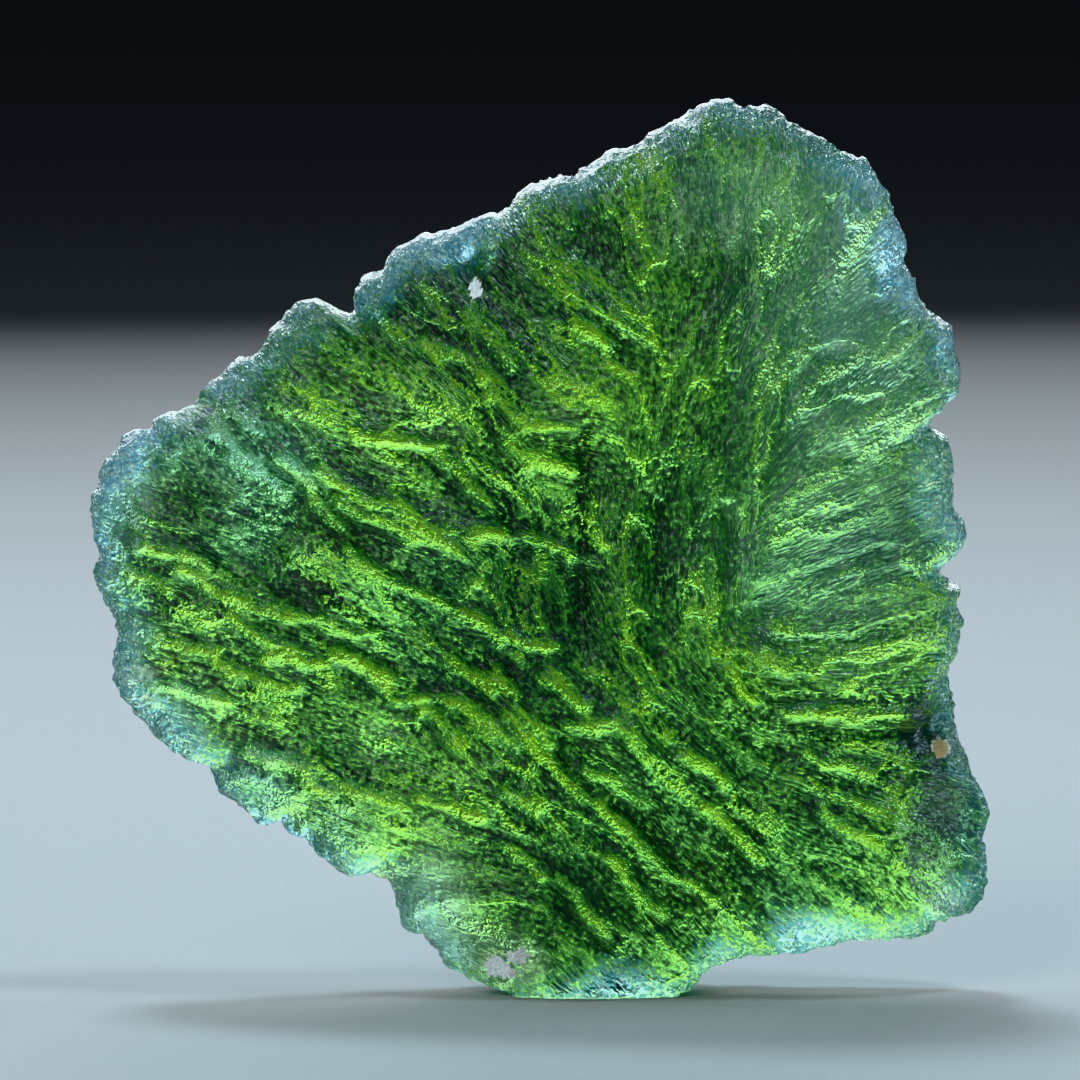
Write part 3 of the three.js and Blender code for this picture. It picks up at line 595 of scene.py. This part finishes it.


# Glass: clear with plain absorption, etched by the relief and coloured after it with painted light and
# shade: lit lime crests, shaded furrows, painted glints and highlights. Streaks follow the flow: noise
# drawn out along an even and an odd direction, weighted by how near each is to the flow. Ropes, main
# ridges and furrows are bands round the places where their fields are 0, with edges shifted by the grain
def makeGlass():
    material = bpy.data.materials.new("etched_green_glass")
    material.use_nodes = True
    nodes, links = material.node_tree.nodes, material.node_tree.links
    shader = nodes["Principled BSDF"]
    shader.distribution = "GGX"
    shader.inputs["IOR"].default_value = glass["ior"]
    shader.inputs["Transmission Weight"].default_value = glass["transmission"]

    def feed(socket, value):
        if isinstance(value, bpy.types.NodeSocket):
            links.new(value, socket)
        else:
            socket.default_value = value

    def worked(kind, a, b=0.0, c=0.0):
        node = nodes.new("ShaderNodeMath")
        node.operation = kind
        for socket, value in zip(node.inputs, (a, b, c)):
            feed(socket, value)
        return node.outputs["Value"]

    def split(vector):
        node = nodes.new("ShaderNodeSeparateXYZ")
        links.new(vector, node.inputs["Vector"])
        return node.outputs["X"], node.outputs["Y"], node.outputs["Z"]

    def attribute(name, kind="Fac"):
        node = nodes.new("ShaderNodeAttribute")
        node.attribute_name = name
        return node.outputs[kind]

    def eased(value, low, high, toLow=0.0, toHigh=1.0):
        node = nodes.new("ShaderNodeMapRange")
        node.interpolation_type = "SMOOTHSTEP"
        for name, number in (("Value", value), ("From Min", low), ("From Max", high),
                             ("To Min", toLow), ("To Max", toHigh)):
            feed(node.inputs[name], number)
        return node.outputs["Result"]

    def mixed(factor, a, b):
        node = nodes.new("ShaderNodeMix")
        node.data_type = "RGBA"
        feed(node.inputs["Factor"], factor)
        for socket, colour in ((node.inputs[6], a), (node.inputs[7], b)):
            feed(socket, (*colour, 1) if isinstance(colour, tuple) else colour)
        return node.outputs[2]

    def mixedNumber(factor, a, b):
        node = nodes.new("ShaderNodeMix")
        for socket, value in zip(node.inputs[:1] + node.inputs[2:4], (factor, a, b)):
            feed(socket, value)
        return node.outputs[0]

    def noise(vector, scale, detail=0.0, roughness=0.5):
        node = nodes.new("ShaderNodeTexNoise")
        links.new(vector, node.inputs["Vector"])
        for name, number in (("Scale", scale), ("Detail", detail), ("Roughness", roughness)):
            node.inputs[name].default_value = number
        return node.outputs["Fac"]

    place = nodes.new("ShaderNodeTexCoord").outputs["Object"]
    x, y, z = split(place)
    length, width, depth = (1 / (size * mm) for size in glass["streak"])
    streak = 0.0
    for name in ("evenTurn", "oddTurn"):
        cosine, sine, weight = split(attribute(name, "Vector"))
        along = worked("ADD", worked("MULTIPLY", x, cosine), worked("MULTIPLY", z, sine))
        across = worked("SUBTRACT", worked("MULTIPLY", z, cosine), worked("MULTIPLY", x, sine))
        spot = nodes.new("ShaderNodeCombineXYZ")
        for socket, value, scale in zip(spot.inputs, (along, across, y), (length, width, depth)):
            feed(socket, worked("MULTIPLY", value, scale))
        signed = worked("MULTIPLY_ADD", noise(spot.outputs["Vector"], 1.0, *glass["streakNoise"]), 2.0, -1.0)
        crest = worked("MULTIPLY_ADD", worked("ABSOLUTE", signed), -glass["streakSharpness"], 1.0)
        streak = worked("MULTIPLY_ADD", crest, weight, streak)

    grain = noise(place, 1 / (glass["grainWidth"] * mm), *glass["grainNoise"])
    uneven = worked("SUBTRACT", grain, 0.5)
    ropeAway = worked("ABSOLUTE", worked("ADD", uneven, attribute("lines")))
    flow = attribute("flow")
    rope = worked("MULTIPLY", eased(ropeAway, *glass["ropeEdge"]), eased(flow, *glass["ropeFlow"]))
    ridgeAway = worked("MULTIPLY_ADD", uneven, glass["ridgeUneven"], attribute("ridgeAway"))
    ridge = eased(ridgeAway, *glass["ridgeEdge"])
    insideHalo = eased(ridgeAway, *glass["ridgeHaloInside"])
    outsideHalo = eased(ridgeAway, *glass["ridgeHaloOutside"])
    furrowAway = worked("ADD", uneven, attribute("furrowAway"))
    features = {
        "flow": flow, "light": attribute("light"), "streak": streak, "rope": rope,
        "ropeHalo": eased(ropeAway, *glass["ropeHalo"]), "ridge": ridge,
        "ridgeHalo": worked("MULTIPLY", insideHalo, outsideHalo),
        "furrow": eased(furrowAway, *glass["furrowEdge"]), "uneven": uneven, "dark": attribute("dark"),
    }
    # painted light and shade: the level lights the crests lime and shades the furrows and the main ridges'
    # sides
    level = glass["ground"]
    for name, share in glass["levelShares"].items():
        level = worked("MULTIPLY_ADD", features[name], share, level)

    ramp = nodes.new("ShaderNodeValToRGB")
    links.new(level, ramp.inputs["Fac"])
    stops = ramp.color_ramp.elements
    while len(stops) < len(glass["litAndShadedGreens"]):
        stops.new(0.5)
    for stop, (position, colour) in zip(stops, glass["litAndShadedGreens"]):
        stop.position = position
        stop.color = (*colour, 1)
    colour = ramp.outputs["Color"]
    # greyish green haze: partly frosted glass and partly painted sheen
    colour = mixed(worked("MULTIPLY", attribute("haze"), glass["hazeShare"]), colour, glass["haze"])
    # painted cyan highlight on the lit crests in the teal spots
    teal = worked("MULTIPLY", attribute("teal"), glass["tealShare"])
    colour = mixed(worked("MULTIPLY", teal, eased(level, *glass["tealLevels"])), colour, glass["teal"])
    inset = worked("MULTIPLY_ADD", flow, glass["rimFlow"], attribute("inset"))
    rimNear = eased(worked("MULTIPLY_ADD", uneven, glass["rimUneven"], inset), *glass["rimBand"])
    # painted glints and shade along the rim: pale cyan specks on dark teal by the grain, partly the thin
    # glass's own paler tint
    paintedGlints = mixed(eased(grain, *glass["paintedGlintGrain"]), glass["rimDark"], glass["rim"])
    colour = mixed(rimNear, colour, paintedGlints)
    colour = mixed(worked("MULTIPLY", attribute("clear"), glass["clearShare"]), colour, glass["clear"])
    # painted whitish glints in the pale spots, broken up by the grain, partly whitish chips
    pale = worked("MULTIPLY", attribute("pale"), eased(grain, *glass["paleGrain"]))
    colour = mixed(pale, colour, glass["pale"])
    colour = mixed(worked("MULTIPLY", attribute("dark"), glass["brownShare"]), colour, glass["brown"])
    links.new(colour, shader.inputs["Base Color"])
    faceRough = eased(level, *glass["faceRoughness"])
    feed(shader.inputs["Roughness"], mixedNumber(rimNear, faceRough, eased(grain, *glass["rimRoughness"])))

    rise = worked("MULTIPLY_ADD", streak, glass["streakRise"], worked("MULTIPLY", rope, glass["ropeRise"]))
    rise = worked("MULTIPLY_ADD", ridge, glass["ropeRise"], rise)
    grainRise = worked("MULTIPLY_ADD", rimNear, glass["rimGrainRise"], glass["grainRise"])
    rise = worked("MULTIPLY_ADD", grain, grainRise, rise)
    bump = nodes.new("ShaderNodeBump")
    bump.inputs["Distance"].default_value = mm
    links.new(rise, bump.inputs["Height"])
    links.new(bump.outputs["Normal"], shader.inputs["Normal"])

    absorb = nodes.new("ShaderNodeVolumeAbsorption")
    absorb.inputs["Color"].default_value = (*glass["absorb"], 1)
    absorb.inputs["Density"].default_value = glass["density"]
    links.new(absorb.outputs["Volume"], nodes["Material Output"].inputs["Volume"])
    return material


marks = {
    "chalk": (0.80, 0.86, 0.84),
    "soil": (0.36, 0.27, 0.13),
    "roughness": 0.6,
    "grain": 0.12,
    "grainShade": (0.35, 0.6, 0.7),  # the noise's darkest and palest place, and the shade of the darkest
    "rise": 0.06,
}


# Bruised glass and packed soil: matt, with a fine grain. The soil attribute tells them apart
def makeMarks():
    material = bpy.data.materials.new("bruise_and_soil")
    material.use_nodes = True
    nodes, links = material.node_tree.nodes, material.node_tree.links
    shader = nodes["Principled BSDF"]
    shader.inputs["Roughness"].default_value = marks["roughness"]
    soil = nodes.new("ShaderNodeAttribute")
    soil.attribute_name = "soil"
    grain = nodes.new("ShaderNodeTexNoise")
    grain.inputs["Scale"].default_value = 1 / (marks["grain"] * mm)
    links.new(nodes.new("ShaderNodeTexCoord").outputs["Object"], grain.inputs["Vector"])
    colour = nodes.new("ShaderNodeMix")
    colour.data_type = "RGBA"
    links.new(soil.outputs["Fac"], colour.inputs["Factor"])
    colour.inputs[6].default_value = (*marks["chalk"], 1)
    colour.inputs[7].default_value = (*marks["soil"], 1)
    shade = nodes.new("ShaderNodeMapRange")
    for name, number in zip(("From Min", "From Max", "To Min"), marks["grainShade"]):
        shade.inputs[name].default_value = number
    links.new(grain.outputs["Fac"], shade.inputs["Value"])
    shaded = nodes.new("ShaderNodeMix")
    shaded.data_type = "RGBA"
    shaded.blend_type = "MULTIPLY"
    shaded.inputs["Factor"].default_value = 1
    links.new(colour.outputs[2], shaded.inputs[6])
    links.new(shade.outputs["Result"], shaded.inputs[7])
    links.new(shaded.outputs[2], shader.inputs["Base Color"])
    bump = nodes.new("ShaderNodeBump")
    bump.inputs["Distance"].default_value = marks["rise"] * mm
    links.new(grain.outputs["Fac"], bump.inputs["Height"])
    links.new(bump.outputs["Normal"], shader.inputs["Normal"])
    return material


print("glass")
glassStone.data.materials.append(makeGlass())
glassStone.data.materials.append(makeMarks())

stage = {
    "floorSize": 6000.0,
    "floorColour": (0.29, 0.285, 0.28, 1),
    "floorRoughness": 0.9,
    "floorGloss": 0.0,
    "world": (0.07, 0.072, 0.078, 1),
    "bounces": 5,                # of a light path; more reach deeper into the glass and take longer
    "floorBounces": 2,
    # place, width and height, spread in degrees, power and colour
    "lights": {
        "back_light": ((-60, 480, 260), (520, 340), 100, 1.45, (0.85, 0.94, 1.0)),
        "left_light": ((-420, 150, 150), (160, 260), 80, 0.3, (0.6, 0.84, 1.0)),
        "right_light": ((420, 150, 150), (160, 260), 80, 0.3, (0.6, 0.84, 1.0)),
        "top_light": ((-60, 200, 430), (90, 90), 120, 0.8, (0.6, 0.84, 1.0)),
        "glint_light": ((120, -60, 430), (80, 80), 180, 0.9, (0.66, 0.87, 1.0)),
        "front_light": ((-200, -380, 260), (260, 260), 180, 1.3, (0.92, 0.96, 1.0)),
    },
}


# Floor and light: a plain pale floor, one large soft light behind and above, a weak one at each side,
# two small ones overhead and one in front
def makeStage():
    half = stage["floorSize"] * mm / 2
    mesh = bpy.data.meshes.new("floor")
    corners = [(-half, -half, 0), (half, -half, 0), (half, half, 0), (-half, half, 0)]
    mesh.from_pydata(corners, [], [(0, 1, 2, 3)])
    floor = bpy.data.objects.new("floor", mesh)
    bpy.context.scene.collection.objects.link(floor)
    material = bpy.data.materials.new("pale_floor")
    material.use_nodes = True
    shader = material.node_tree.nodes["Principled BSDF"]
    shader.inputs["Base Color"].default_value = stage["floorColour"]
    shader.inputs["Roughness"].default_value = stage["floorRoughness"]
    shader.inputs["Specular IOR Level"].default_value = stage["floorGloss"]
    mesh.materials.append(material)
    world = bpy.data.worlds.new("studio")
    world.use_nodes = True
    world.node_tree.nodes["Background"].inputs["Color"].default_value = stage["world"]
    world.cycles.sampling_method = "NONE"
    bpy.context.scene.world = world

    aim = Vector((0, 0, 18)) * mm
    for name, (place, size, spread, power, colour) in stage["lights"].items():
        data = bpy.data.lights.new(name, "AREA")
        data.shape = "RECTANGLE"
        data.size, data.size_y = size[0] * mm, size[1] * mm
        data.spread = math.radians(spread)
        data.energy = power
        data.color = colour
        lamp = bpy.data.objects.new(name, data)
        lamp.location = Vector(place) * mm
        lamp.rotation_euler = (aim - lamp.location).to_track_quat("-Z", "Y").to_euler()
        bpy.context.scene.collection.objects.link(lamp)


print("stage")
makeStage()
bpy.context.scene.view_settings.view_transform = "Khronos PBR Neutral"
bpy.context.scene.cycles.max_bounces = stage["bounces"]
bpy.context.scene.cycles.transmission_bounces = stage["bounces"]
bpy.context.scene.cycles.diffuse_bounces = stage["floorBounces"]
